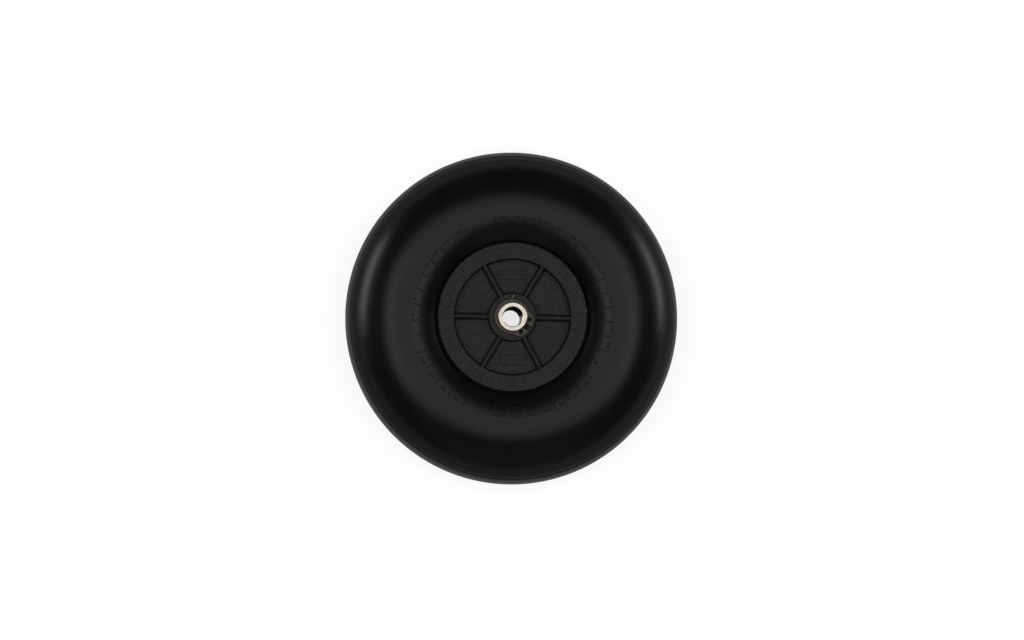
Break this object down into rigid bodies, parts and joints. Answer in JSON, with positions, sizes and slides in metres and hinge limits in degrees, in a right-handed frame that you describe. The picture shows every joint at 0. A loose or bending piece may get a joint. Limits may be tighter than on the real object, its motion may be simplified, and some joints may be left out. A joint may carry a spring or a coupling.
{
  "type": "model aircraft wheel",
  "caption": "Balloon-tyred wheel for a large model aircraft: a hollow rubber tyre on a ribbed plastic hub that turns on ball bearings round a metal axle bush held by retaining rings.",
  "frame": {"origin": "centre of the wheel, on the axle and in the tyre's middle plane", "axes": "+Z along the axle, out of the front face; +X and +Y in the wheel's plane; the wheel lies on its rear side"},
  "size_m": [0.14, 0.14, 0.047],
  "materials": {
    "tyre_rubber": "smooth black rubber, half matt",
    "hub_plastic": "black moulded plastic with a fine grain",
    "screw_steel": "blackened steel",
    "bush_metal": "bright turned metal",
    "spacer_metal": "turned aluminium",
    "spring_steel": "dark phosphated spring steel",
    "bearing_steel": "ground bearing steel",
    "cage_steel": "pressed steel",
    "seal_rubber": "black rubber"
  },
  "bodies": {
    "wheel": {"tyre": "tyre_rubber", "hub_front_half": "hub_plastic", "hub_rear_half": "hub_plastic", "hub_screws": "screw_steel", "front_bearing_outer_ring": "bearing_steel", "front_bearing_outer_seal": "seal_rubber", "front_bearing_inner_seal": "seal_rubber", "rear_bearing_outer_ring": "bearing_steel", "rear_bearing_outer_seal": "seal_rubber", "rear_bearing_inner_seal": "seal_rubber"},
    "bush": {"axle_bush": "bush_metal", "distance_tube": "spacer_metal", "front_spacer_bush": "spacer_metal", "rear_spacer_bush": "spacer_metal", "front_circlip": "spring_steel", "rear_circlip": "spring_steel", "front_bearing_inner_ring": "bearing_steel", "rear_bearing_inner_ring": "bearing_steel"},
    "front_ball_set": {"front_bearing_balls": "bearing_steel", "front_bearing_cage": "cage_steel"},
    "rear_ball_set": {"rear_bearing_balls": "bearing_steel", "rear_bearing_cage": "cage_steel"}
  },
  "joints": [
    {"name": "bush_spin", "type": "hinge", "parent": "wheel", "child": "bush", "pos_m": [0, 0, 0], "axis": [0, 0, 1], "continuous": true},
    {"name": "front_ball_set_spin", "type": "hinge", "parent": "wheel", "child": "front_ball_set", "pos_m": [0, 0, 0.0097], "axis": [0, 0, 1], "continuous": true},
    {"name": "rear_ball_set_spin", "type": "hinge", "parent": "wheel", "child": "rear_ball_set", "pos_m": [0, 0, -0.0097], "axis": [0, 0, 1], "continuous": true}
  ],
  "couplings": [
    {"joint": "front_ball_set_spin", "follows": "bush_spin", "ratio": 0.42785},
    {"joint": "rear_ball_set_spin", "follows": "bush_spin", "ratio": 0.42785}
  ]
}
